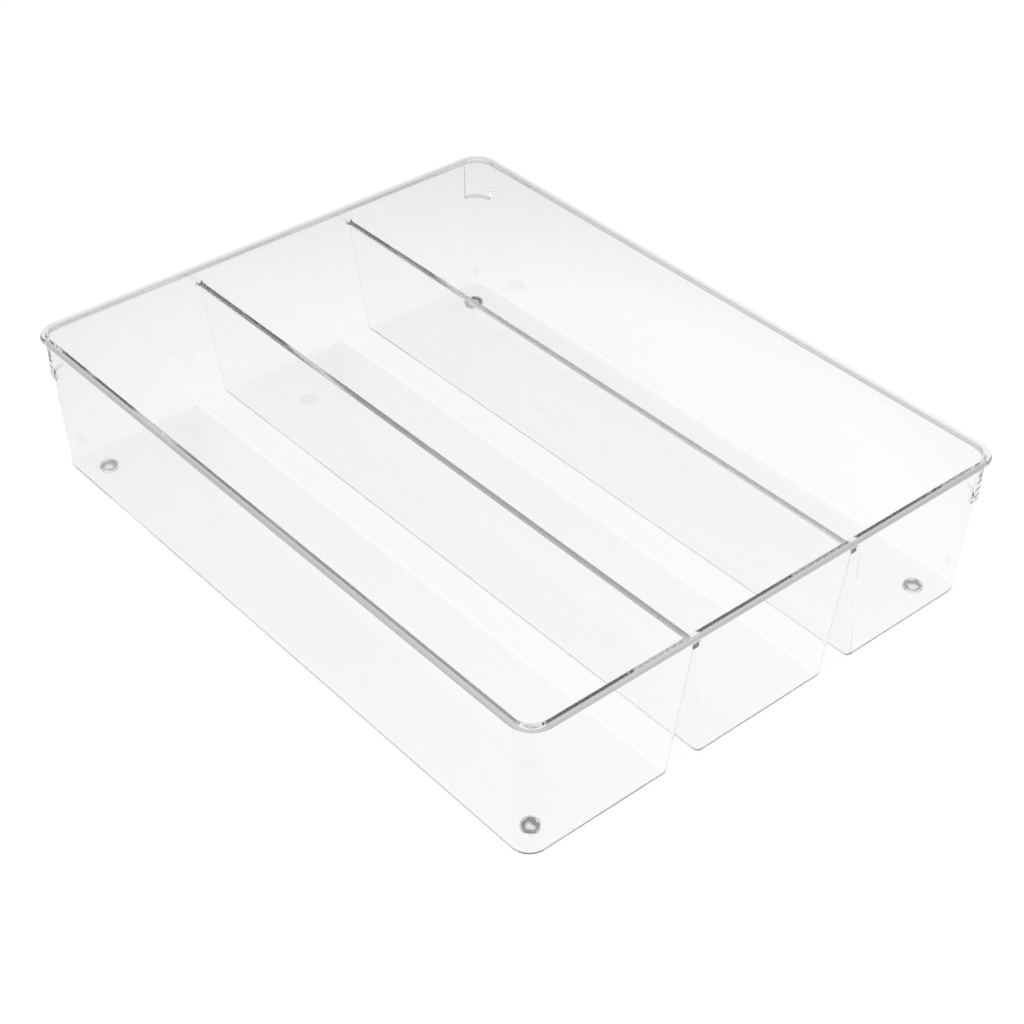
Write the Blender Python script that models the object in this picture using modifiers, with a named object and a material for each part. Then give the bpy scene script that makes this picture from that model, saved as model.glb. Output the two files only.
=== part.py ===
"""Clear drawer organizer: a one-piece moulded tray with three troughs, on four stick-on feet.

Metres, +Z up. X runs across the troughs and Y along them. The origin is at the centre of the
footprint, on the surface that the feet stand on. Front is -Y and left is -X.
"""
import math

import bmesh
import bpy

# Tray, overall
TRAY_WIDTH = 0.274  # across the troughs, over the rim
TRAY_LENGTH = 0.354  # along the troughs, over the rim
TRAY_HEIGHT = 0.076  # underside of the floor to the top of the rim
WALL = 0.0012
FLOOR = 0.0016
CORNER = 0.0095  # radius of the troughs' upright corners, on the outside
FLOOR_FILLET = 0.0016  # inside, where the walls run into the floor
WALL_DRAFT = math.radians(2.1)

# Rim
RIM_OVERHANG = 0.0027
RIM_HEIGHT = 0.0022
RIM_FILLET = 0.0008  # where the walls run into the rim's underside
RIM_TOP_ROUND = 0.0014
RIM_LOWER_ROUND = 0.0007
RIM_INNER_ROUND = 0.0010

# Dividers: two walls that lean apart, joined by a rounded ridge and open beneath
DIVIDER_OFFSET = 0.0460  # centre of the tray to the middle of each divider
DIVIDER_DROP = 0.0070  # top of the rim down to the ridge
DIVIDER_DRAFT = math.radians(6.9)
DIVIDER_CORNER = 0.0030  # radius of the upright corners beside a divider, on the outside
RIDGE = 0.0024  # thickness of the divider at its ridge
RIDGE_FLAT = 0.0002  # left between the two roundings of the ridge
RIDGE_ROOF = 0.0021  # plastic over the slot inside the divider

# Corner lugs: upright wedges that stop nested trays from wedging together
LUG_HEIGHT = 0.0220  # below the rim
LUG_PROUD = 0.0004  # how far a lug stands out of the wall where it meets the rim
LUG_RETURN = 0.0010  # straight stretch of a lug past each end of the rounded corner

# Bumper feet and the adhesive discs that hold them
FOOT_DIAMETER = 0.0095
FOOT_HEIGHT = 0.0025
FOOT_FLAT = 0.0046  # diameter of the flat that a foot stands on
FOOT_SKIRT = 0.0007  # upright edge of a foot below its adhesive
FOOT_INSET = 0.0158  # from the outside of both walls, at the floor, to a foot's middle
ADHESIVE_DIAMETER = 0.0088
ADHESIVE_THICKNESS = 0.0002
SEAT_GAP = 0.0003  # left between an adhesive disc and what it touches

OVERRUN = 0.0008  # how far a joined or cut shape runs past the surface it meets
MERGE_DISTANCE = 0.00001  # joins a turned shape's points where it closes

# Steps of the rounded stretches
CORNER_STEPS = 8
FILLET_STEPS = 4
ROUND_STEPS = 3
RIDGE_STEPS = 4
FOOT_STEPS = 5
FOOT_SIDES = 32
SHARP_ANGLE = math.radians(32)

# Heights above the surface that the feet stand on
UNDERSIDE_Z = FOOT_HEIGHT + SEAT_GAP + ADHESIVE_THICKNESS + SEAT_GAP
FLOOR_Z = UNDERSIDE_Z + FLOOR
RIM_Z = UNDERSIDE_Z + TRAY_HEIGHT
RIM_UNDER_Z = RIM_Z - RIM_HEIGHT
RIDGE_Z = RIM_Z - DIVIDER_DROP
SLOT_TOP_Z = RIDGE_Z - RIDGE_ROOF

TROUGHS = ("left", "middle", "right")
DIVIDERS_X = (-DIVIDER_OFFSET, DIVIDER_OFFSET)
CORNER_SIGNS = {
    "front_left": (-1, -1),
    "front_right": (1, -1),
    "back_left": (-1, 1),
    "back_right": (1, 1),
}


def clear_scene():
    for item in list(bpy.data.objects):
        bpy.data.objects.remove(item, do_unlink=True)


def new_collection(name):
    collection = bpy.data.collections.new(name)
    bpy.context.scene.collection.children.link(collection)
    return collection


def plastic(name, colour, roughness, transmission, ior):
    material = bpy.data.materials.new(name)
    material.use_nodes = True
    shader = material.node_tree.nodes["Principled BSDF"]
    shader.inputs["Base Color"].default_value = (*colour, 1)
    shader.inputs["Metallic"].default_value = 0
    shader.inputs["Roughness"].default_value = roughness
    shader.inputs["Transmission Weight"].default_value = transmission
    shader.inputs["IOR"].default_value = ior
    material.diffuse_color = (*colour, 1)
    return material


def add_object(name, mesh, collection, material=None):
    item = bpy.data.objects.new(name, mesh)
    collection.objects.link(item)
    if material:
        mesh.materials.append(material)
    return item


def mesh_from(bm, name):
    """Turns a bmesh into a mesh that is smooth except along its hard edges."""
    bmesh.ops.recalc_face_normals(bm, faces=bm.faces)
    mesh = bpy.data.meshes.new(name)
    bm.to_mesh(mesh)
    bm.free()
    mesh.shade_smooth()
    mesh.set_sharp_from_angle(angle=SHARP_ANGLE)
    return mesh


def loft(name, rings, collection, material=None):
    """A closed solid through a stack of rings that all have the same number of points."""
    bm = bmesh.new()
    loops = [[bm.verts.new(point) for point in ring] for ring in rings]
    for lower, upper in zip(loops, loops[1:]):
        for i, start in enumerate(lower):
            j = (i + 1) % len(lower)
            bm.faces.new((start, lower[j], upper[j], upper[i]))
    bm.faces.new(reversed(loops[0]))
    bm.faces.new(loops[-1])
    return add_object(name, mesh_from(bm, name), collection, material)


def arc(centre_x, centre_y, z, radius, start):
    """A quarter circle of points, anticlockwise from the angle start."""
    angles = (start + math.pi / 2 * i / CORNER_STEPS for i in range(CORNER_STEPS + 1))
    return [(centre_x + radius * math.cos(a), centre_y + radius * math.sin(a), z) for a in angles]


def rounded_ring(x_limits, half_length, z, radii):
    """A rounded rectangle at height z; radii are those of its left and its right corners."""
    low, high = x_limits
    left, right = radii
    return (
        arc(high - right, half_length - right, z, right, 0)
        + arc(low + left, half_length - left, z, left, math.pi / 2)
        + arc(low + left, left - half_length, z, left, math.pi)
        + arc(high - right, right - half_length, z, right, 3 * math.pi / 2)
    )


def quarter_turn(steps):
    return [math.pi / 2 * i / steps for i in range(steps + 1)]


# The walls as functions of height

def wall_half_width(z):
    """Outside of the left and right walls."""
    return TRAY_WIDTH / 2 - RIM_OVERHANG - (RIM_Z - z) * math.tan(WALL_DRAFT)


def wall_half_length(z):
    """Outside of the front and back walls."""
    return TRAY_LENGTH / 2 - RIM_OVERHANG - (RIM_Z - z) * math.tan(WALL_DRAFT)


def divider_half(z):
    """Half the distance between the two troughs beside a divider."""
    return RIDGE / 2 + (RIDGE_Z - z) * math.tan(DIVIDER_DRAFT)


def beside_dividers(k):
    """Whether trough k has a divider on its left and on its right."""
    return k > 0, k < len(DIVIDERS_X)


def trough_ring(k, z, grow=0, flare=0):
    """Outside of trough k at height z, grown all round and flared beside its dividers."""
    by_left, by_right = beside_dividers(k)
    slot_half = divider_half(z) - WALL
    low = DIVIDERS_X[k - 1] + slot_half - flare if by_left else -wall_half_width(z)
    high = DIVIDERS_X[k] - slot_half + flare if by_right else wall_half_width(z)
    radii = [(DIVIDER_CORNER + flare if beside else CORNER) + grow for beside in (by_left, by_right)]
    return rounded_ring((low - grow, high + grow), wall_half_length(z) + grow, z, radii)


def filleted_base(k, base_z, fillet, grow):
    """Rings up the fillet between a floor and the walls of trough k."""
    rings = []
    for angle in quarter_turn(FILLET_STEPS):
        rise = fillet * (1 - math.cos(angle))
        inset = fillet * (1 - math.sin(angle))
        rings.append(trough_ring(k, base_z + rise, grow - inset))
    return rings


# Solids that are joined into the tray

def trough_shell(k, collection):
    """Outside of one trough, up to the roof of the slots beside it, closed by a lid."""
    rings = filleted_base(k, UNDERSIDE_Z, FLOOR_FILLET + WALL, 0)
    rings.append(trough_ring(k, SLOT_TOP_Z))
    rings.append([(x, y, z + OVERRUN) for x, y, z in trough_ring(k, SLOT_TOP_Z, -OVERRUN)])
    return loft(f"shell_{TROUGHS[k]}", rings, collection)


def outer_ring(wall_z, z, grow):
    """Outline of the whole tray at height z, grown from where its walls are at height wall_z."""
    half = wall_half_width(wall_z) + grow
    return rounded_ring((-half, half), wall_half_length(wall_z) + grow, z, (CORNER + grow, CORNER + grow))


def upper_walls(name, collection, material):
    """The band of wall that runs round all three troughs, from the slots up into the rim."""
    rings = [outer_ring(SLOT_TOP_Z, SLOT_TOP_Z, 0)]
    for angle in quarter_turn(ROUND_STEPS):
        z = RIM_UNDER_Z - RIM_FILLET * (1 - math.sin(angle))
        rings.append(outer_ring(z, z, RIM_FILLET * (1 - math.cos(angle))))
    rings.append(outer_ring(RIM_UNDER_Z, RIM_UNDER_Z + OVERRUN, RIM_FILLET))
    return loft(name, rings, collection, material)


def rim_slab(collection):
    """The rim before it is hollowed, with rounded outer edges."""
    corner = CORNER + RIM_OVERHANG

    def ring(z, inset):
        half = TRAY_WIDTH / 2 - inset
        return rounded_ring((-half, half), TRAY_LENGTH / 2 - inset, z, (corner - inset, corner - inset))

    rings = []
    for angle in quarter_turn(ROUND_STEPS):
        rise = RIM_LOWER_ROUND * (1 - math.cos(angle))
        rings.append(ring(RIM_UNDER_Z + rise, RIM_LOWER_ROUND * (1 - math.sin(angle))))
    for angle in quarter_turn(ROUND_STEPS):
        drop = RIM_TOP_ROUND * (1 - math.sin(angle))
        rings.append(ring(RIM_Z - drop, RIM_TOP_ROUND * (1 - math.cos(angle))))
    return loft("rim_slab", rings, collection)


def lug_side(centre, z, radius, turn):
    """One face of a lug in plan: a quarter circle with a straight return at each end."""
    points = arc(*centre, z, radius, turn)
    back_x, back_y = LUG_RETURN * math.sin(turn), -LUG_RETURN * math.cos(turn)
    first, last = points[0], points[-1]
    before = (first[0] + back_x, first[1] + back_y, z)
    after = (last[0] + back_y, last[1] - back_x, z)
    return [before, *points, after]


def corner_lug(place, collection):
    """A wedge round one corner: upright outside, while the wall behind it leans in."""
    sign_x, sign_y = CORNER_SIGNS[place]
    centre = (sign_x * (wall_half_width(RIM_UNDER_Z) - CORNER),
              sign_y * (wall_half_length(RIM_UNDER_Z) - CORNER))
    lean = LUG_HEIGHT * math.tan(WALL_DRAFT) * math.sqrt(2)
    turn = math.atan2(sign_y, sign_x) - math.pi / 4
    rings = []
    for z in (RIM_UNDER_Z - LUG_HEIGHT, RIM_UNDER_Z + OVERRUN):
        outside = lug_side(centre, z, CORNER + LUG_PROUD, turn)
        inside = lug_side(centre, z, CORNER - lean - WALL, turn)
        rings.append(outside + inside[::-1])
    return loft(f"lug_{place}", rings, collection)


# Hollows that are cut out of the tray

def upper_hollow(collection):
    """The open space above the dividers, flared at the top to round the rim's inner edge."""
    rings = [outer_ring(RIDGE_Z, RIDGE_Z, -WALL)]
    for angle in quarter_turn(ROUND_STEPS):
        z = RIM_Z - RIM_INNER_ROUND * (1 - math.sin(angle))
        rings.append(outer_ring(z, z, RIM_INNER_ROUND * (1 - math.cos(angle)) - WALL))
    rings.append(outer_ring(RIM_Z, RIM_Z + OVERRUN, RIM_INNER_ROUND - WALL))
    return loft("hollow_upper", rings, collection)


def trough_hollow(k, collection):
    """Inside of one trough up to the ridges, flared there to round the dividers' tops."""
    ridge_round = (RIDGE - RIDGE_FLAT) / 2
    rings = filleted_base(k, FLOOR_Z, FLOOR_FILLET, -WALL)
    for angle in quarter_turn(RIDGE_STEPS):
        z = RIDGE_Z - ridge_round * (1 - math.sin(angle))
        rings.append(trough_ring(k, z, -WALL, ridge_round * (1 - math.cos(angle))))
    rings.append([(x, y, z + OVERRUN) for x, y, z in trough_ring(k, RIDGE_Z, -WALL - OVERRUN)])
    return loft(f"hollow_{TROUGHS[k]}", rings, collection)


def combine(target, other, operation):
    """Joins other to the target or cuts it out, and leaves it as a hidden guide."""
    other.hide_render = True
    other.display_type = "WIRE"
    modifier = target.modifiers.new(f"{operation.lower()} {other.name}", "BOOLEAN")
    modifier.operation = operation
    modifier.solver = "EXACT"
    modifier.object = other


def make_tray(parts, cutters, material):
    tray = upper_walls("tray", parts, material)
    solids = [rim_slab(cutters)]
    solids += [trough_shell(k, cutters) for k in range(len(TROUGHS))]
    solids += [corner_lug(place, cutters) for place in CORNER_SIGNS]
    for solid in solids:
        combine(tray, solid, "UNION")
    hollows = [upper_hollow(cutters)]
    hollows += [trough_hollow(k, cutters) for k in range(len(TROUGHS))]
    for hollow in hollows:
        combine(tray, hollow, "DIFFERENCE")
    return tray


# Feet and adhesive discs

def foot_profile():
    """Half of a foot's section, from the middle of its top down its outer side."""
    radius = FOOT_DIAMETER / 2
    flat = FOOT_FLAT / 2
    shoulder = FOOT_HEIGHT - FOOT_SKIRT
    points = [(0, FOOT_HEIGHT), (radius, FOOT_HEIGHT)]
    for angle in quarter_turn(FOOT_STEPS):
        points.append((flat + (radius - flat) * math.cos(angle), shoulder * (1 - math.sin(angle))))
    points.append((0, 0))
    return points


def foot_mesh(material):
    mesh = bpy.data.meshes.new("foot")
    points = [(x, 0, z) for x, z in foot_profile()]
    mesh.from_pydata(points, [(i, i + 1) for i in range(len(points) - 1)], [])
    mesh.materials.append(material)
    return mesh


def adhesive_mesh(material):
    bm = bmesh.new()
    radius = ADHESIVE_DIAMETER / 2
    bmesh.ops.create_cone(bm, cap_ends=True, segments=FOOT_SIDES, radius1=radius, radius2=radius,
                          depth=ADHESIVE_THICKNESS)
    mesh = mesh_from(bm, "adhesive")
    mesh.materials.append(material)
    return mesh


def make_feet(parts, foot_material, adhesive_material):
    foot = foot_mesh(foot_material)
    adhesive = adhesive_mesh(adhesive_material)
    x = wall_half_width(UNDERSIDE_Z) - FOOT_INSET
    y = wall_half_length(UNDERSIDE_Z) - FOOT_INSET
    made = []
    for place, (sign_x, sign_y) in CORNER_SIGNS.items():
        pad = add_object(f"foot_{place}", foot, parts)
        pad.location = (sign_x * x, sign_y * y, 0)
        turn = pad.modifiers.new("turned shape", "SCREW")
        turn.steps = turn.render_steps = FOOT_SIDES
        turn.use_merge_vertices = True
        turn.merge_threshold = MERGE_DISTANCE
        disc = add_object(f"adhesive_{place}", adhesive, parts)
        disc.location = (sign_x * x, sign_y * y, FOOT_HEIGHT + SEAT_GAP + ADHESIVE_THICKNESS / 2)
        made += [pad, disc]
    return made


def main():
    clear_scene()
    parts = new_collection("drawer_organizer")
    cutters = new_collection("drawer_organizer_guides")
    clear_plastic = plastic("clear polystyrene", (0.95, 0.96, 0.97), 0.04, 1, 1.58)
    clear_rubber = plastic("clear polyurethane", (0.86, 0.87, 0.88), 0.12, 0.9, 1.49)
    adhesive_film = plastic("acrylic adhesive", (0.90, 0.90, 0.89), 0.3, 0.8, 1.47)
    root = bpy.data.objects.new("drawer_organizer_root", None)
    parts.objects.link(root)
    pieces = [make_tray(parts, cutters, clear_plastic)]
    pieces += make_feet(parts, clear_rubber, adhesive_film)
    for piece in pieces:
        piece.parent = root


main()
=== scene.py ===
"""Clear drawer organizer: the visual model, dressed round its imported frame, and its stage.

Metres, +Z up, in the frame's own coordinates. Front is -Y and left is -X.
"""
import math

import bmesh
import bpy
from mathutils import Matrix, Vector


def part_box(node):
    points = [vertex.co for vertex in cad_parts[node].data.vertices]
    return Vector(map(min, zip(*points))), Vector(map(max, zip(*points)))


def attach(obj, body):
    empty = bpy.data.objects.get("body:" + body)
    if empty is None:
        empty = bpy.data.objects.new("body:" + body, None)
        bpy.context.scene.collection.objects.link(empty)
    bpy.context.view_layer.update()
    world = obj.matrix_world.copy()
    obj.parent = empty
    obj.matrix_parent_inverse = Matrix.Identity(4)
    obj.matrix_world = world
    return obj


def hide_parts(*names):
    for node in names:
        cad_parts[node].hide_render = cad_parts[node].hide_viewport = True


bl_info = {
    "name": "Clear Drawer Organizer",
    "version": (1, 0, 0),
    "blender": (4, 5, 0),
    "location": "View3D > Sidebar > Organizer",
    "description": "Builds a clear moulded drawer organizer with bumper feet, and a plain studio",
    "category": "Object",
}

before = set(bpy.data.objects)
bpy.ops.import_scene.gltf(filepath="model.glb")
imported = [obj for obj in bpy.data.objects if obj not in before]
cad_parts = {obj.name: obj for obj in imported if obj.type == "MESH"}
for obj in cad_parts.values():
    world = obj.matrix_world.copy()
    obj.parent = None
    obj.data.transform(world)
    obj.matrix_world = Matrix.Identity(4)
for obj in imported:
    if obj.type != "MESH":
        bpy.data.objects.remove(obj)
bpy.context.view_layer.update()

TROUGHS = ("left", "middle", "right")
CORNERS = {
    "front_left": (-1, -1),
    "front_right": (1, -1),
    "back_left": (-1, 1),
    "back_right": (1, 1),
}
QUARTERS = 4
PHOTO_PIXELS = 1024  # side of the photograph, which the focal length is given in
SHARP_ANGLE = math.radians(34)  # edges that turn further stay hard
WELD = 0.000001
OVERRUN = 0.0008  # how far a tool runs past what it cuts or joins

POLYSTYRENE_INDEX = 1.58
POLYURETHANE_INDEX = 1.5
ADHESIVE_INDEX = 1.47
ADHESIVE_ROUGHNESS = 0.2
WAVE_SCALE = 28.0
WAVE_HEIGHT = 0.0002
WAVE_STRENGTH = 0.25
HAZE_SCALE = 60.0
HAZE_LEAST = 0.4  # least roughness, as a share of the one given
HAZE_RANGE = 1.2
# Painted shade round the feet's flanks: the scale and strength of its unevenness, and where it goes
# from clear to dark and ends.
FLANK_NOISE_SCALE = 260.0
FLANK_NOISE = 0.8
FLANK_SOFT = 0.2  # from clear to dark, as a share of the foot's radius
FLANK_END = 0.9
BLEND = 0.1  # softness where a slope of light starts
SIDE_SLOPE = -1.5  # how fast the room brightens to the left
PLAIN_LIGHT = 0.8  # the room as it lights plain surfaces
LAMPS = {
    # name: (position, (width, height), watts)
    "key": ((-0.9, -0.4, 1.5), (0.9, 0.9), 14),
    "fill": ((1.2, 0.9, 1.3), (0.9, 0.6), 8),
}
TRANSPARENT_BOUNCES = 40


# Node graphs

class Value:
    """A socket in a node graph. Python's operators on it add Math nodes."""

    def __init__(self, graph, socket):
        self.graph = graph
        self.socket = socket

    def __add__(self, other):
        return self.graph.math("ADD", self, other)

    def __radd__(self, other):
        return self.graph.math("ADD", other, self)

    def __sub__(self, other):
        return self.graph.math("SUBTRACT", self, other)

    def __rsub__(self, other):
        return self.graph.math("SUBTRACT", other, self)

    def __mul__(self, other):
        return self.graph.math("MULTIPLY", self, other)

    def __rmul__(self, other):
        return self.graph.math("MULTIPLY", other, self)

    def __truediv__(self, other):
        return self.graph.math("DIVIDE", self, other)

    def __mod__(self, other):
        return self.graph.math("MODULO", self, other)

    def __gt__(self, other):
        return self.graph.math("GREATER_THAN", self, other)

    def __lt__(self, other):
        return self.graph.math("LESS_THAN", self, other)


class Graph:
    """Adds nodes to one node tree."""

    def __init__(self, tree):
        self.tree = tree

    def add(self, kind, settings=None, inputs=None):
        """A new node: its settings come first, then the values or links of its sockets."""
        node = self.tree.nodes.new(kind)
        for name, value in (settings or {}).items():
            if name == "stops":
                self.set_stops(node.color_ramp, value)
            else:
                setattr(node, name, value)
        for key, value in (inputs or {}).items():
            if isinstance(value, Value):
                self.tree.links.new(value.socket, node.inputs[key])
            elif isinstance(value, bpy.types.NodeSocket):
                self.tree.links.new(value, node.inputs[key])
            else:
                node.inputs[key].default_value = value
        return node

    def value(self, kind, settings=None, inputs=None, output=0):
        return Value(self, self.add(kind, settings, inputs).outputs[output])

    def math(self, operation, *values):
        return self.value("ShaderNodeMath", {"operation": operation}, dict(enumerate(values)))

    def set_stops(self, ramp, stops):
        while len(ramp.elements) < len(stops):
            ramp.elements.new(1)
        for element, (position, colour) in zip(ramp.elements, stops):
            element.position = position
            element.color = (*colour, 1)

    def separate(self, vector):
        node = self.add("ShaderNodeSeparateXYZ", inputs={0: vector})
        return [Value(self, socket) for socket in node.outputs]

    def combine(self, x, y, z):
        return self.value("ShaderNodeCombineXYZ", inputs={0: x, 1: y, 2: z})


# Geometry Nodes trees

LOFT_INPUTS = {
    "Left": "X of the left side at height zero",
    "Right": "X of the right side at height zero",
    "Half Length": "Y of the back at height zero",
    "Left Lean": "How far the left side moves out for each metre up",
    "Right Lean": "How far the right side moves out for each metre up",
    "End Lean": "How far the front and back move out for each metre up",
    "Left Radius": "Radius of the left upright corners where the profile has no spread",
    "Right Radius": "Radius of the right upright corners where the profile has no spread",
    "Left Flare": "Share of the profile's flare that the left side takes",
    "Right Flare": "Share of the profile's flare that the right side takes",
}


def new_tree(name, floats, integers=()):
    """An empty Geometry Nodes tree with named inputs, and its graph and group nodes."""
    tree = bpy.data.node_groups.new(name, "GeometryNodeTree")
    tree.interface.new_socket("Geometry", in_out="INPUT", socket_type="NodeSocketGeometry")
    for label, description in floats.items():
        socket = tree.interface.new_socket(label, in_out="INPUT", socket_type="NodeSocketFloat")
        socket.description = description
    for label in integers:
        tree.interface.new_socket(label, in_out="INPUT", socket_type="NodeSocketInt")
    tree.interface.new_socket("Material", in_out="INPUT", socket_type="NodeSocketMaterial")
    tree.interface.new_socket("Geometry", in_out="OUTPUT", socket_type="NodeSocketGeometry")
    graph = Graph(tree)
    source = graph.add("NodeGroupInput")
    return graph, source


def end_tree(graph, source, geometry):
    """Ends a tree in Realize Instances and Set Material."""
    real = graph.add("GeometryNodeRealizeInstances", inputs={"Geometry": geometry})
    finished = graph.add("GeometryNodeSetMaterial", inputs={
        "Geometry": real.outputs[0], "Material": source.outputs["Material"]})
    graph.add("NodeGroupOutput", inputs={"Geometry": finished.outputs[0]})
    return graph.tree


def make_loft_tree():
    """Carries a profile round a rounded rectangle whose sides lean, and closes it at both ends.

    Each point of the profile is one level: X is its spread outwards, Y its flare and Z its height.
    The first and the last level close up to the middle.
    """
    graph, source = new_tree("rounded loft", LOFT_INPUTS, ("Corner Steps",))

    def given(label):
        return Value(graph, source.outputs[label])

    steps = given("Corner Steps")
    ring = (steps + 1) * QUARTERS
    levels = graph.value("GeometryNodeAttributeDomainSize", inputs={
        "Geometry": source.outputs["Geometry"]})
    sheet = graph.add("GeometryNodeMeshGrid", inputs={
        "Size X": ring, "Size Y": levels - 1, "Vertices X": ring + 1, "Vertices Y": levels})
    position = graph.add("GeometryNodeInputPosition").outputs[0]
    along, up, flat = graph.separate(position)
    column = graph.math("ROUND", along + ring / 2) % ring
    level = graph.math("ROUND", up + (levels - 1) / 2)
    settings = {"data_type": "FLOAT_VECTOR", "domain": "POINT"}
    sampled = graph.add("GeometryNodeSampleIndex", settings, {
        "Geometry": source.outputs["Geometry"], "Value": position, "Index": level})
    spread, flare, height = graph.separate(sampled.outputs[0])

    quarter = graph.math("FLOOR", column / (steps + 1))
    angle = (quarter + (column - quarter * (steps + 1)) / steps) * (math.pi / 2)
    on_left = (quarter > 0.5) * (quarter < 2.5)
    at_back = quarter < 1.5
    left_flare = flare * given("Left Flare")
    right_flare = flare * given("Right Flare")
    left = given("Left") - height * given("Left Lean") - spread - left_flare
    right = given("Right") + height * given("Right Lean") + spread + right_flare
    length = given("Half Length") + height * given("End Lean") + spread
    left_radius = given("Left Radius") + left_flare
    right_radius = given("Right Radius") + right_flare
    radius = spread + on_left * left_radius + (1 - on_left) * right_radius
    centre_x = on_left * (left + radius) + (1 - on_left) * (right - radius)
    centre_y = (at_back * 2 - 1) * (length - radius)
    spread_out = (level > 0.5) * (level < levels - 1.5)
    x = spread_out * (centre_x + radius * graph.math("COSINE", angle))
    x = x + (1 - spread_out) * ((left + right) / 2)
    y = spread_out * (centre_y + radius * graph.math("SINE", angle))
    placed = graph.add("GeometryNodeSetPosition", inputs={
        "Geometry": sheet.outputs["Mesh"], "Position": graph.combine(x, y, height)})
    welded = graph.add("GeometryNodeMergeByDistance", inputs={
        "Geometry": placed.outputs[0], "Distance": WELD})
    return end_tree(graph, source, welded.outputs[0])


def make_corner_tree():
    """Puts a copy of a piece at each of four corners."""
    graph, source = new_tree("piece at each corner", {
        "Half Width": "X of the copies on the right",
        "Half Length": "Y of the copies at the back",
    })
    spots = graph.add("GeometryNodeMeshGrid", inputs={
        "Size X": Value(graph, source.outputs["Half Width"]) * 2,
        "Size Y": Value(graph, source.outputs["Half Length"]) * 2,
        "Vertices X": 2, "Vertices Y": 2})
    copies = graph.add("GeometryNodeInstanceOnPoints", inputs={
        "Points": spots.outputs["Mesh"], "Instance": source.outputs["Geometry"]})
    return end_tree(graph, source, copies.outputs[0])


def tree_named(name, maker):
    return bpy.data.node_groups.get(name) or maker()


def add_tree(item, tree, values):
    """Adds a Geometry Nodes modifier and sets its inputs by their sockets' identifiers."""
    modifier = item.modifiers.new(tree.name, "NODES")
    modifier.node_group = tree
    for socket in tree.interface.items_tree:
        if socket.in_out == "INPUT" and socket.name in values:
            modifier[socket.identifier] = values[socket.name]


# Meshes

def new_object(name, mesh):
    item = bpy.data.objects.new(name, mesh)
    bpy.context.scene.collection.objects.link(item)
    return item


def evaluated_mesh(item, name):
    """A plain copy of what the object's modifiers make."""
    bpy.context.view_layer.update()
    shown = item.evaluated_get(bpy.context.evaluated_depsgraph_get())
    mesh = bpy.data.meshes.new_from_object(shown)
    mesh.name = name
    return mesh


def remove(items):
    for item in items:
        bpy.data.objects.remove(item, do_unlink=True)


def quarter_turn(steps):
    return [math.pi / 2 * i / steps for i in range(steps + 1)]


def lofted(name, levels, values, material, steps):
    """An object that the loft tree makes from a profile's levels of spread, flare and height."""
    mesh = bpy.data.meshes.new(name)
    mesh.from_pydata([levels[0], *levels, levels[-1]], [], [])
    item = new_object(name, mesh)
    add_tree(item, tree_named("rounded loft", make_loft_tree), {
        "Left Flare": 0.0, "Right Flare": 0.0, **values, "Corner Steps": steps,
        "Material": material})
    return item


def combine(target, other, operation):
    modifier = target.modifiers.new(f"{operation} {other.name}", "BOOLEAN")
    modifier.operation = operation
    modifier.solver = "EXACT"
    modifier.object = other


def finish_mesh(mesh, material):
    """Smooth faces between hard edges, with each flat face kept flat."""
    mesh.materials.clear()
    mesh.materials.append(material)
    mesh.shade_smooth()
    mesh.set_sharp_from_angle(angle=SHARP_ANGLE)
    item = new_object(mesh.name, mesh)
    normals = item.modifiers.new("flat faces stay flat", "WEIGHTED_NORMAL")
    normals.keep_sharp = True
    final = evaluated_mesh(item, mesh.name)
    item.modifiers.clear()
    item.data = final
    return item


def length_property(name, default, description):
    return bpy.props.FloatProperty(name=name, default=default, description=description,
                                   min=0, unit="LENGTH", precision=5)


def colour_property(name, default, description):
    return bpy.props.FloatVectorProperty(name=name, default=default, description=description,
                                         subtype="COLOR", size=3, min=0, max=1)


def share_property(name, default, description):
    return bpy.props.FloatProperty(name=name, default=default, description=description,
                                   subtype="FACTOR", min=0, max=1)


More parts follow.
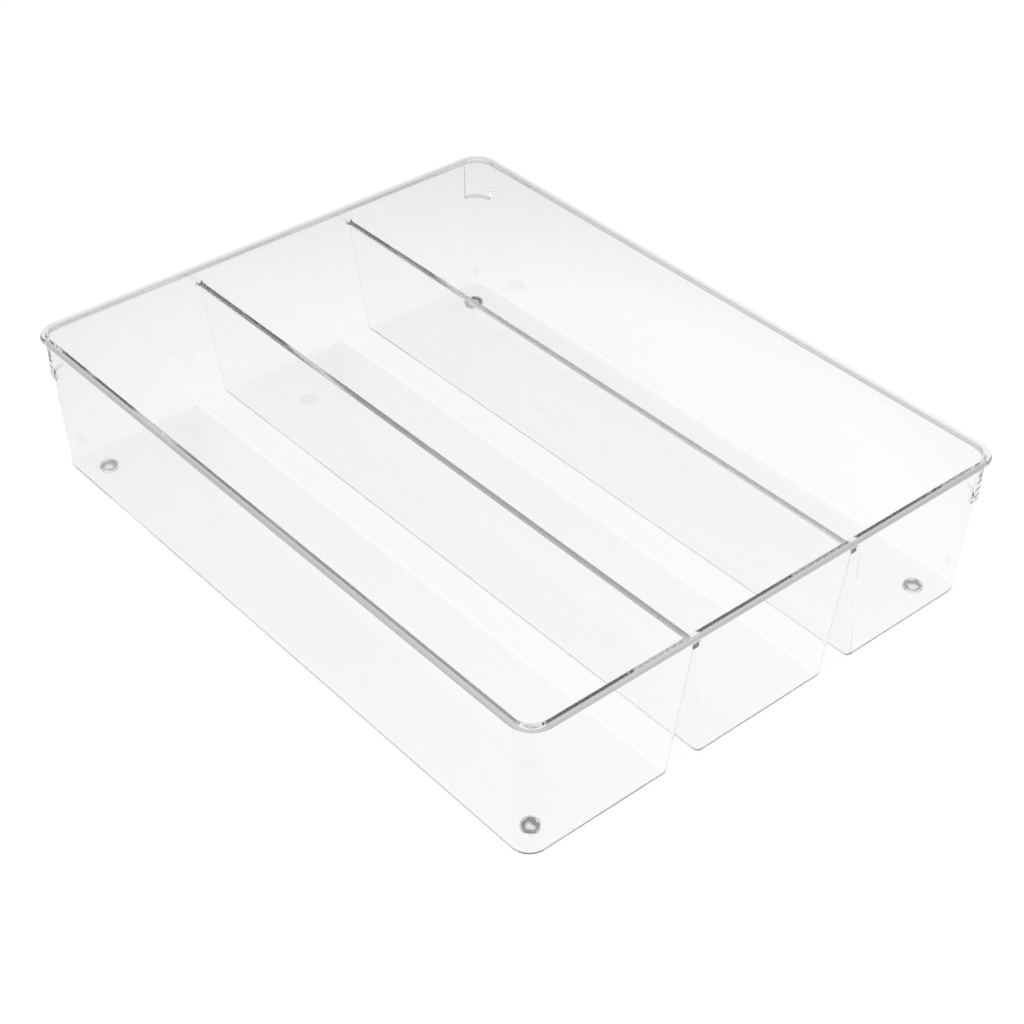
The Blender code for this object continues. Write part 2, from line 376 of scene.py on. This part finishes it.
class TraySizes(bpy.types.PropertyGroup):
    """Sizes of the moulded tray."""
    wall: length_property("Wall", 0.0012, "Thickness of the walls")
    floor: length_property("Floor", 0.0016, "Thickness of the floors")
    corner: length_property("Corner", 0.0095, "Radius of the upright corners, on the outside")
    fillet: length_property("Floor Fillet", 0.0016, "Radius inside, where the walls meet the floor")
    base_round: length_property("Base Round", 0.0028, "Radius of the lower edges, on the outside")
    draft: bpy.props.FloatProperty(name="Wall Draft", default=math.radians(2.1), subtype="ANGLE",
                                   description="Lean of the outer walls")
    rim_overhang: length_property("Rim Overhang", 0.0027, "How far the rim stands out of the walls")
    rim_height: length_property("Rim Height", 0.0022, "Thickness of the rim")
    rim_fillet: length_property("Rim Fillet", 0.0008, "Radius where the walls run into the rim")
    rim_top_round: length_property("Rim Top Round", 0.0014, "Radius of the rim's upper outer edge")
    rim_lower_round: length_property("Rim Lower Round", 0.0007,
                                     "Radius of the rim's lower outer edge")
    rim_inner_round: length_property("Rim Inner Round", 0.0010, "Radius of the rim's inner edge")
    divider_offset: length_property("Divider Offset", 0.0460, "Middle of the tray to each divider")
    divider_drop: length_property("Divider Drop", 0.0070, "Top of the rim down to the ridges")
    divider_draft: bpy.props.FloatProperty(name="Divider Draft", default=math.radians(6.9),
                                           subtype="ANGLE",
                                           description="Lean of the dividers' walls")
    divider_corner: length_property("Divider Corner", 0.0030,
                                    "Radius of the upright corners beside a divider, outside")
    ridge: length_property("Ridge", 0.0024, "Thickness of a divider at its ridge")
    ridge_flat: length_property("Ridge Flat", 0.0002, "Flat between the two roundings of a ridge")
    ridge_roof: length_property("Ridge Roof", 0.0021, "Plastic over the slot inside a divider")
    lug_height: length_property("Lug Height", 0.0220, "Height of the corner lugs below the rim")
    lug_proud: length_property("Lug Proud", 0.0004,
                               "How far a lug stands out of the wall at the rim")
    lug_return: length_property("Lug Return", 0.0010, "Straight stretch of a lug past the corner")
    lug_slope: length_property("Lug Slope", 0.0025, "Height over which a lug rises out of the wall")
    corner_steps: bpy.props.IntProperty(name="Corner Steps", default=20, min=4,
                                        description="Facets of each upright corner")
    round_steps: bpy.props.IntProperty(name="Round Steps", default=6, min=2,
                                       description="Facets of each small rounding")


class FootSizes(bpy.types.PropertyGroup):
    """Sizes of the bumper feet and their adhesive discs."""
    flat: length_property("Flat", 0.0030, "Diameter of the flat that a foot stands on")
    skirt: length_property("Skirt", 0.0007, "Upright edge of a foot below its adhesive")
    edge: length_property("Edge", 0.0003, "Radius of the skirt's upper edge")
    sides: bpy.props.IntProperty(name="Corner Steps", default=20, min=4,
                                 description="Facets in a quarter of the foot")
    steps: bpy.props.IntProperty(name="Dome Steps", default=16, min=4,
                                 description="Facets from the skirt to the flat")


class Finish(bpy.types.PropertyGroup):
    """Colours and gloss of the clear plastics, and the painted shade on the feet's flanks."""
    tray_colour: colour_property("Tray", (0.995, 0.996, 0.997), "Tint of the clear polystyrene")
    tray_roughness: share_property("Tray Roughness", 0.015, "Roughness of the polished moulding")
    tray_absorption: bpy.props.FloatProperty(
        name="Tray Absorption", default=2.0, min=0,
        description="How fast light fades along the inside of a wall, per metre")
    foot_colour: colour_property("Feet", (0.93, 0.94, 0.945), "Tint of the clear polyurethane")
    foot_roughness: share_property("Feet Roughness", 0.03, "Roughness of the bumpers")
    # Painted shade: a dark tint on a foot's flank that stands in for the dark a clear dome shows by
    # refraction. Feet Clear is the share of the radius that it leaves clear.
    foot_painted_shade: colour_property("Feet Flank", (0.003, 0.0032, 0.0035),
                                "Tint of a foot's dark flank")
    foot_clear: share_property("Feet Clear", 0.34, "Share of a foot's radius that looks clear")
    foot_absorption: bpy.props.FloatProperty(
        name="Feet Absorption", default=20, min=0,
        description="How fast light fades in a foot, per metre")
    adhesive_colour: colour_property("Adhesive", (0.92, 0.92, 0.91), "Tint of the adhesive film")


class StageSettings(bpy.types.PropertyGroup):
    """Camera, floor and light."""
    azimuth: bpy.props.FloatProperty(name="Azimuth", default=math.radians(-41.29), subtype="ANGLE",
                                     description="Camera's bearing, zero looking along +Y")
    elevation: bpy.props.FloatProperty(name="Elevation", default=math.radians(38.18),
                                       subtype="ANGLE",
                                       description="Camera's height above the horizon")
    roll: bpy.props.FloatProperty(name="Roll", default=math.radians(0.90), subtype="ANGLE",
                                  description="Camera's turn about its own line of sight")
    distance: length_property("Distance", 1.0003, "Camera to the point that it looks at")
    target: bpy.props.FloatVectorProperty(name="Target", default=(0.0128, 0.0048, 0),
                                          subtype="TRANSLATION", unit="LENGTH",
                                          description="Point that the camera looks at")
    focal_pixels: bpy.props.FloatProperty(name="Focal Length", default=2090.9,
                                          description="Focal length in pixels of the photograph")
    floor_size: length_property("Floor Size", 12, "Side of the square floor")
    floor_colour: colour_property("Floor", (0.93, 0.93, 0.93), "Colour of the floor")
    # The pool settings are painted light on the floor, which gloss and glass show. Pool Back is
    # painted shade towards the back.
    pool: length_property("Pool", 0.2, "Reach of the brightest light on the floor")
    pool_far: length_property("Pool Far", 0.5, "Reach of the soft light round it")
    pool_light: share_property("Pool Light", 1.0,
                               "Brightness of the lit floor, seen in gloss and glass")
    pool_soft: share_property("Pool Soft", 0.64,
                              "Brightness of the floor where the soft light ends")
    pool_edge: share_property("Pool Edge", 0.57, "Brightness of the floor a metre from its middle")
    pool_back: share_property("Pool Back", 0.07, "How much the floor darkens towards the back")
    shadow_share: share_property("Shadow Share", 0.1, "How much of the lit floor shows")
    room_horizon: share_property("Room Horizon", 0.65, "Brightness of the room at the horizon")
    room_low: share_property("Room Low", 0.64, "Brightness of the room above the horizon")
    room_middle: share_property("Room Middle", 0.45, "Brightness of the room's walls")
    room_high: share_property("Room High", 0.6,
                              "Brightness of the room where the walls meet the ceiling")
    room_top: share_property("Room Top", 0.74, "Brightness of the room overhead")
    room_left: share_property("Room Left", 0.8, "How much brighter the room is to the left")
    bounces: bpy.props.IntProperty(name="Bounces", default=256, min=8,
                                   description="How often light may turn inside the clear walls")


# Materials

def new_material(name):
    material = bpy.data.materials.new(name)
    material.use_nodes = True
    material.node_tree.nodes.clear()
    return material, Graph(material.node_tree)


def clear_material(name, colour, roughness, ior, absorption=0, shade=None):
    """Clear plastic that lets lamps through, with a faintly uneven, finely scratched surface.

    shade takes the graph and the place on the piece, and gives the tint where it varies; for the
    feet it gives painted shade round their flanks.
    """
    material, graph = new_material(name)
    place = graph.add("ShaderNodeTexCoord").outputs["Object"]
    tint = shade(graph, place) if shade else (*colour, 1)
    waves = graph.value("ShaderNodeTexNoise", inputs={
        "Vector": place, "Scale": WAVE_SCALE, "Detail": 2.0})
    haze = graph.value("ShaderNodeTexNoise", inputs={
        "Vector": place, "Scale": HAZE_SCALE, "Detail": 4.0})
    polish = haze * (roughness * HAZE_RANGE) + roughness * HAZE_LEAST
    bumped = graph.add("ShaderNodeBump", inputs={
        "Strength": WAVE_STRENGTH, "Distance": WAVE_HEIGHT, "Height": waves})
    plastic = graph.add("ShaderNodeBsdfPrincipled", inputs={
        "Base Color": tint, "Roughness": polish, "IOR": ior, "Transmission Weight": 1.0,
        "Normal": bumped.outputs[0]})
    lit_through = graph.add("ShaderNodeBsdfTransparent", inputs={"Color": (*colour, 1)})
    path = graph.add("ShaderNodeLightPath")
    mixed = graph.add("ShaderNodeMixShader", inputs={
        0: path.outputs["Is Shadow Ray"], 1: plastic.outputs[0], 2: lit_through.outputs[0]})
    output = graph.add("ShaderNodeOutputMaterial", inputs={"Surface": mixed.outputs[0]})
    if absorption:
        fading = graph.add("ShaderNodeVolumeAbsorption", inputs={
            "Color": (0.0, 0.0, 0.0, 1), "Density": absorption})
        graph.tree.links.new(fading.outputs[0], output.inputs["Volume"])
    return material


# Tray

class TrayPlan:
    """Where the tray's walls lie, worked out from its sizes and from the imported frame."""

    def __init__(self, sizes):
        self.sizes = sizes
        low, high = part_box("tray")
        self.underside = low.z
        self.rim_top = high.z
        self.half_width = high.x
        self.half_length = high.y
        self.floor = self.underside + sizes.floor
        self.rim_under = self.rim_top - sizes.rim_height
        self.ridge = self.rim_top - sizes.divider_drop
        self.slot_top = self.ridge - sizes.ridge_roof
        self.lean = math.tan(sizes.draft)
        self.divider_lean = math.tan(sizes.divider_draft)

    def wall(self, half, z):
        """Outside of a wall at height z, from the half width or half length over the rim."""
        return half - self.sizes.rim_overhang - (self.rim_top - z) * self.lean

    def outline(self):
        """The loft's values for the whole tray, outside, at height zero."""
        half = self.wall(self.half_width, 0)
        return {
            "Left": -half, "Right": half, "Half Length": self.wall(self.half_length, 0),
            "Left Lean": self.lean, "Right Lean": self.lean, "End Lean": self.lean,
            "Left Radius": self.sizes.corner, "Right Radius": self.sizes.corner,
        }

    def trough(self, k):
        """The loft's values for the outside of trough k, at height zero."""
        sizes = self.sizes
        slot = sizes.ridge / 2 + self.ridge * self.divider_lean - sizes.wall
        values = self.outline()
        if k > 0:
            values |= {"Left": sizes.divider_offset * (2 * k - 3) + slot,
                       "Left Lean": self.divider_lean, "Left Radius": sizes.divider_corner,
                       "Left Flare": 1.0}
        if k < len(TROUGHS) - 1:
            values |= {"Right": sizes.divider_offset * (2 * k - 1) - slot,
                       "Right Lean": self.divider_lean, "Right Radius": sizes.divider_corner,
                       "Right Flare": 1.0}
        return values


def fillet_levels(base, radius, spread, steps):
    """Levels up a fillet, from a flat at height base to an upright wall."""
    return [(spread - radius * (1 - math.sin(a)), 0, base + radius * (1 - math.cos(a)))
            for a in quarter_turn(steps)]


def tray_solids(plan, material):
    """The band of wall, and the solids that are joined to it."""
    sizes = plan.sizes
    steps = sizes.corner_steps
    band_levels = [(0, 0, plan.slot_top)]
    for a in quarter_turn(sizes.round_steps):
        band_levels.append((sizes.rim_fillet * (1 - math.cos(a)), 0,
                            plan.rim_under - sizes.rim_fillet * (1 - math.sin(a))))
    band_levels.append((sizes.rim_fillet, 0, plan.rim_under + OVERRUN))
    band = lofted("tray_band", band_levels, plan.outline(), material, steps)
    upright = {
        "Left": -plan.half_width, "Right": plan.half_width, "Half Length": plan.half_length,
        "Left Lean": 0.0, "Right Lean": 0.0, "End Lean": 0.0,
        "Left Radius": sizes.corner + sizes.rim_overhang,
        "Right Radius": sizes.corner + sizes.rim_overhang,
    }
    rim_levels = fillet_levels(plan.rim_under, sizes.rim_lower_round, 0, sizes.round_steps)
    for a in quarter_turn(sizes.round_steps):
        rim_levels.append((-sizes.rim_top_round * (1 - math.cos(a)), 0,
                           plan.rim_top - sizes.rim_top_round * (1 - math.sin(a))))
    joined = [lofted("tray_rim", rim_levels, upright, material, steps)]
    for k, place in enumerate(TROUGHS):
        levels = fillet_levels(plan.underside, sizes.base_round, 0, sizes.round_steps)
        levels.append((0, 0, plan.slot_top))
        levels.append((-OVERRUN, 0, plan.slot_top + OVERRUN))
        joined.append(lofted(f"shell_{place}", levels, plan.trough(k), material, steps))
    joined += [corner_lug(plan, place) for place in CORNERS]
    return band, joined


def corner_lug(plan, place):
    """An upright wedge round one corner, while the wall behind it leans in."""
    sizes = plan.sizes
    sign_x, sign_y = CORNERS[place]
    centre = Vector((sign_x * (plan.wall(plan.half_width, plan.rim_under) - sizes.corner),
                     sign_y * (plan.wall(plan.half_length, plan.rim_under) - sizes.corner)))
    turn = math.atan2(sign_y, sign_x) - math.pi / 4
    inside = sizes.corner - sizes.wall - sizes.lug_height * plan.lean * math.sqrt(2)
    low, high = plan.rim_under - sizes.lug_height, plan.rim_under - sizes.rim_fillet
    full = sizes.corner + sizes.lug_proud
    start = sizes.corner - sizes.lug_height * plan.lean * math.sqrt(2) - sizes.lug_proud

    def side(radius):
        points = [centre + radius * Vector((math.cos(turn + a), math.sin(turn + a)))
                  for a in quarter_turn(sizes.corner_steps)]
        back = sizes.lug_return * Vector((math.sin(turn), -math.cos(turn)))
        return [points[0] + back, *points, points[-1] + Vector((back.y, -back.x))]

    bm = bmesh.new()
    rings = [[bm.verts.new((*point, z)) for point in side(radius) + side(inside)[::-1]]
             for radius, z in ((start, low), (full, low + sizes.lug_slope), (full, high))]
    for lower, upper in zip(rings, rings[1:]):
        for i, vert in enumerate(lower):
            bm.faces.new((lower[i - 1], vert, upper[i], upper[i - 1]))
    bm.faces.new(rings[0])
    bm.faces.new(rings[-1])
    bmesh.ops.recalc_face_normals(bm, faces=bm.faces)
    mesh = bpy.data.meshes.new(f"lug_{place}")
    bm.to_mesh(mesh)
    bm.free()
    return new_object(mesh.name, mesh)


def tray_hollows(plan, material):
    """The open spaces that are cut out of the tray."""
    sizes = plan.sizes
    steps = sizes.corner_steps
    levels = [(-sizes.wall, 0, plan.ridge)]
    for a in quarter_turn(sizes.round_steps):
        levels.append((sizes.rim_inner_round * (1 - math.cos(a)) - sizes.wall, 0,
                       plan.rim_top - sizes.rim_inner_round * (1 - math.sin(a))))
    levels.append((sizes.rim_inner_round - sizes.wall, 0, plan.rim_top + OVERRUN))
    hollows = [lofted("hollow_upper", levels, plan.outline(), material, steps)]
    ridge_round = (sizes.ridge - sizes.ridge_flat) / 2
    for k, place in enumerate(TROUGHS):
        levels = fillet_levels(plan.floor, sizes.fillet, -sizes.wall, sizes.round_steps)
        for a in quarter_turn(sizes.round_steps):
            levels.append((-sizes.wall, ridge_round * (1 - math.cos(a)),
                           plan.ridge - ridge_round * (1 - math.sin(a))))
        levels.append((-sizes.wall - OVERRUN, 0, plan.ridge + OVERRUN))
        hollows.append(lofted(f"hollow_{place}", levels, plan.trough(k), material, steps))
    return hollows


class ORGANIZER_OT_tray(bpy.types.Operator):
    """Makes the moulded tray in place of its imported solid."""
    bl_idname = "organizer.tray"
    bl_label = "Tray"

    def execute(self, context):
        finish = context.scene.organizer_finish
        plan = TrayPlan(context.scene.organizer_tray)
        material = clear_material("clear polystyrene", finish.tray_colour, finish.tray_roughness,
                                  POLYSTYRENE_INDEX, finish.tray_absorption)
        band, joined = tray_solids(plan, material)
        hollows = tray_hollows(plan, material)
        for solid in joined:
            combine(band, solid, "UNION")
        for hollow in hollows:
            combine(band, hollow, "DIFFERENCE")
        mesh = evaluated_mesh(band, "moulded_tray")
        remove([band, *joined, *hollows])
        tray = finish_mesh(mesh, material)
        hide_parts("tray")
        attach(tray, "root")
        return {"FINISHED"}


# Feet

def round_values(radius):
    """The loft's values for a round piece."""
    return {"Left": -radius, "Right": radius, "Half Length": radius, "Left Lean": 0.0,
            "Right Lean": 0.0, "End Lean": 0.0, "Left Radius": radius, "Right Radius": radius}


def at_corners(name, node, levels, radius, material, steps):
    """A round piece at each corner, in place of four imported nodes."""
    low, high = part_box(f"{node}_back_right")
    item = lofted(name, levels, round_values(radius), material, steps)
    add_tree(item, tree_named("piece at each corner", make_corner_tree), {
        "Half Width": (low.x + high.x) / 2, "Half Length": (low.y + high.y) / 2,
        "Material": material})
    mesh = evaluated_mesh(item, name)
    remove([item])
    piece = finish_mesh(mesh, material)
    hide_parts(*(f"{node}_{place}" for place in CORNERS))
    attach(piece, "root")
    return piece


def dome_painted_shade(finish, middle, radius, top):
    """The tint of a foot: clear over its middle, with painted shade round its flank, a little
    uneven.
    """
    def shade(graph, place):
        x, y, z = graph.separate(place)
        off_x = graph.math("ABSOLUTE", x) - middle[0]
        off_y = graph.math("ABSOLUTE", y) - middle[1]
        out = graph.math("SQRT", off_x * off_x + off_y * off_y) / radius
        uneven = graph.value("ShaderNodeTexNoise", inputs={
            "Vector": place, "Scale": FLANK_NOISE_SCALE, "Detail": 0.0})
        # Painted shade: a dark ring round the flank, in place of the dark that refraction shows in
        # a clear dome.
        ring = graph.add("ShaderNodeValToRGB", {"stops": [
            (0.0, finish.foot_colour), (finish.foot_clear, finish.foot_colour),
            (finish.foot_clear + FLANK_SOFT, finish.foot_painted_shade), (FLANK_END, finish.foot_painted_shade),
            (1.0, finish.foot_colour)]}, {0: out + (uneven - 0.5) * FLANK_NOISE})
        # The painted ring goes only on the dome, below the edge of the foot's top.
        tint = graph.add("ShaderNodeMix", {"data_type": "RGBA"}, {
            "Factor": z < top, "A": (*finish.foot_colour, 1), "B": ring.outputs[0]})
        return tint.outputs["Result"]
    return shade


class ORGANIZER_OT_feet(bpy.types.Operator):
    """Makes the bumper feet and their adhesive discs."""
    bl_idname = "organizer.feet"
    bl_label = "Feet"

    def execute(self, context):
        sizes = context.scene.organizer_feet
        finish = context.scene.organizer_finish
        low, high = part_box("foot_back_right")
        radius = (high.x - low.x) / 2
        shoulder = high.z - sizes.skirt
        dome = radius - sizes.flat / 2
        levels = [(dome * math.sin(a) - dome, 0, shoulder * (1 - math.cos(a)))
                  for a in quarter_turn(sizes.steps)]
        for a in quarter_turn(4):
            levels.append((-sizes.edge * (1 - math.cos(a)), 0,
                           high.z - sizes.edge * (1 - math.sin(a))))
        middle = ((low.x + high.x) / 2, (low.y + high.y) / 2)
        # The feet's material carries painted shade round their flanks.
        rubber = clear_material("clear polyurethane", finish.foot_colour, finish.foot_roughness,
                                POLYURETHANE_INDEX, finish.foot_absorption,
                                dome_painted_shade(finish, middle, radius, high.z - sizes.edge))
        feet = at_corners("bumper_feet", "foot", levels, radius, rubber, sizes.sides)

        low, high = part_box("adhesive_back_right")
        radius = (high.x - low.x) / 2
        film = clear_material("acrylic adhesive", finish.adhesive_colour, ADHESIVE_ROUGHNESS,
                              ADHESIVE_INDEX)
        discs = at_corners("adhesive_discs", "adhesive", [(0, 0, low.z), (0, 0, high.z)],
                           radius, film, sizes.sides)
        return {"FINISHED"}


# Stage

def floor_material(settings):
    """A pale floor that shows white and keeps a part of the object's shadow. To gloss and glass it
    shows a painted pool of light, with painted shade towards the back.
    """
    material, graph = new_material("pale floor")
    lit = graph.add("ShaderNodeBsdfDiffuse", inputs={"Color": (*settings.floor_colour, 1)})
    white = graph.add("ShaderNodeEmission", inputs={"Color": (1, 1, 1, 1), "Strength": 1.0})
    place = graph.add("ShaderNodeTexCoord").outputs["Object"]
    reach = graph.add("ShaderNodeVectorMath", {"operation": "LENGTH"}, {0: place}).outputs["Value"]
    # Painted light: a pool of light on the floor, brightest in the middle, which gloss and glass
    # show.
    pool = graph.add("ShaderNodeValToRGB", {"stops": [
        (0.0, (settings.pool_light,) * 3), (settings.pool, (settings.pool_light,) * 3),
        (settings.pool_far, (settings.pool_soft,) * 3),
        (1.0, (settings.pool_edge,) * 3)]}, {0: reach})
    across, along, up = graph.separate(place)
    # Painted shade: the pool darkens towards the back.
    back = graph.math("SMOOTH_MAX", along / (settings.pool * 2) + 0.5, 0.0, BLEND)
    back = graph.math("MINIMUM", back, 1.0)
    painted_pool = graph.add("ShaderNodeVectorMath", {"operation": "SCALE"}, {
        0: pool.outputs[0], "Scale": 1 - back * settings.pool_back})
    shown = graph.add("ShaderNodeEmission", inputs={"Color": painted_pool.outputs[0], "Strength": 1.0})
    path = graph.add("ShaderNodeLightPath")
    through = Value(graph, path.outputs["Is Glossy Ray"])
    through = graph.math("MAXIMUM", through, path.outputs["Is Transmission Ray"])
    backdrop = graph.add("ShaderNodeMixShader", inputs={
        0: through, 1: white.outputs[0], 2: shown.outputs[0]})
    seen = graph.math("MAXIMUM", through, path.outputs["Is Camera Ray"])
    mixed = graph.add("ShaderNodeMixShader", inputs={
        0: seen * (1 - settings.shadow_share), 1: lit.outputs[0], 2: backdrop.outputs[0]})
    graph.add("ShaderNodeOutputMaterial", inputs={"Surface": mixed.outputs[0]})
    return material


def make_world(settings):
    """White where the camera looks; for gloss and glass, a pale room that is darker above."""
    world = bpy.data.worlds.new("studio")
    bpy.context.scene.world = world
    world.use_nodes = True
    graph = Graph(world.node_tree)
    world.node_tree.nodes.clear()
    direction = graph.add("ShaderNodeTexCoord").outputs["Generated"]
    across, along, up = graph.separate(direction)
    room = graph.add("ShaderNodeValToRGB", {"stops": [
        (0.0, (settings.room_horizon,) * 3), (0.2, (settings.room_low,) * 3),
        (0.55, (settings.room_middle,) * 3), (0.7, (settings.room_high,) * 3),
        (1.0, (settings.room_top,) * 3)]}, {0: up})
    left = graph.math("SMOOTH_MAX", across * SIDE_SLOPE, 0.0, BLEND)
    left = graph.math("MINIMUM", left, 1.0) * settings.room_left
    reflection = graph.add("ShaderNodeVectorMath", {"operation": "ADD"}, {
        0: room.outputs[0], 1: graph.combine(left, left, left)})
    path = graph.add("ShaderNodeLightPath")
    reflected = Value(graph, path.outputs["Is Glossy Ray"])
    reflected = graph.math("MAXIMUM", reflected, path.outputs["Is Transmission Ray"])
    plain = graph.add("ShaderNodeBackground", inputs={
        "Color": (PLAIN_LIGHT, PLAIN_LIGHT, PLAIN_LIGHT, 1), "Strength": 1.0})
    seen = graph.add("ShaderNodeBackground", inputs={"Color": (1, 1, 1, 1), "Strength": 1.0})
    mirrored = graph.add("ShaderNodeBackground", inputs={
        "Color": reflection.outputs[0], "Strength": 1.0})
    first = graph.add("ShaderNodeMixShader", inputs={
        0: reflected, 1: plain.outputs[0], 2: mirrored.outputs[0]})
    last = graph.add("ShaderNodeMixShader", inputs={
        0: path.outputs["Is Camera Ray"], 1: first.outputs[0], 2: seen.outputs[0]})
    graph.add("ShaderNodeOutputWorld", inputs={"Surface": last.outputs[0]})


def add_lamp(name, position, size, power):
    """An area lamp that faces the middle of the stage and that gloss and glass don't show."""
    lamp = bpy.data.lights.new(name, "AREA")
    lamp.shape = "RECTANGLE"
    lamp.size, lamp.size_y = size
    lamp.energy = power
    item = new_object(name, lamp)
    item.visible_glossy = False
    item.visible_transmission = False
    item.location = position
    item.rotation_euler = (-Vector(position)).to_track_quat("-Z", "Y").to_euler()
    return item


def add_camera(settings):
    data = bpy.data.cameras.new("camera")
    data.sensor_width = 36
    data.lens = settings.focal_pixels / PHOTO_PIXELS * data.sensor_width
    data.dof.use_dof = False
    camera = new_object("camera", data)
    back = Vector((math.sin(settings.azimuth) * math.cos(settings.elevation),
                   -math.cos(settings.azimuth) * math.cos(settings.elevation),
                   math.sin(settings.elevation)))
    turned = (-back).to_track_quat("-Z", "Y").to_matrix() @ Matrix.Rotation(settings.roll, 3, "Z")
    camera.location = Vector(settings.target) + back * settings.distance
    camera.rotation_euler = turned.to_euler()
    bpy.context.scene.camera = camera


class ORGANIZER_OT_stage(bpy.types.Operator):
    """Makes the floor, the light and the camera."""
    bl_idname = "organizer.stage"
    bl_label = "Stage"

    def execute(self, context):
        settings = context.scene.organizer_stage
        bm = bmesh.new()
        bmesh.ops.create_grid(bm, x_segments=1, y_segments=1, size=settings.floor_size / 2)
        mesh = bpy.data.meshes.new("floor")
        bm.to_mesh(mesh)
        bm.free()
        mesh.materials.append(floor_material(settings))
        new_object("floor", mesh)
        make_world(settings)
        for name, (position, size, power) in LAMPS.items():
            add_lamp(name, position, size, power)
        add_camera(settings)
        scene = context.scene
        scene.view_settings.view_transform = "Standard"
        scene.cycles.max_bounces = settings.bounces
        scene.cycles.transmission_bounces = settings.bounces
        scene.cycles.glossy_bounces = settings.bounces
        scene.cycles.transparent_max_bounces = TRANSPARENT_BOUNCES
        return {"FINISHED"}


class ORGANIZER_PT_panel(bpy.types.Panel):
    """Lists the organizer's operators and settings."""
    bl_idname = "ORGANIZER_PT_panel"
    bl_label = "Drawer Organizer"
    bl_space_type = "VIEW_3D"
    bl_region_type = "UI"
    bl_category = "Organizer"

    def draw(self, context):
        layout = self.layout
        for operator in OPERATORS:
            layout.operator(operator.bl_idname)
        for name, group in SETTINGS.items():
            box = layout.box()
            for prop in group.__annotations__:
                box.prop(getattr(context.scene, name), prop)


OPERATORS = (ORGANIZER_OT_tray, ORGANIZER_OT_feet, ORGANIZER_OT_stage)
SETTINGS = {
    "organizer_tray": TraySizes,
    "organizer_feet": FootSizes,
    "organizer_finish": Finish,
    "organizer_stage": StageSettings,
}


def register():
    for group in SETTINGS.values():
        bpy.utils.register_class(group)
    for operator in OPERATORS:
        bpy.utils.register_class(operator)
    bpy.utils.register_class(ORGANIZER_PT_panel)
    for name, group in SETTINGS.items():
        setattr(bpy.types.Scene, name, bpy.props.PointerProperty(type=group))


def unregister():
    for name in SETTINGS:
        delattr(bpy.types.Scene, name)
    bpy.utils.unregister_class(ORGANIZER_PT_panel)
    for item in (*reversed(OPERATORS), *SETTINGS.values()):
        bpy.utils.unregister_class(item)


def main():
    register()
    bpy.ops.organizer.tray()
    bpy.ops.organizer.feet()
    bpy.ops.organizer.stage()


if __name__ == "__main__":
    main()
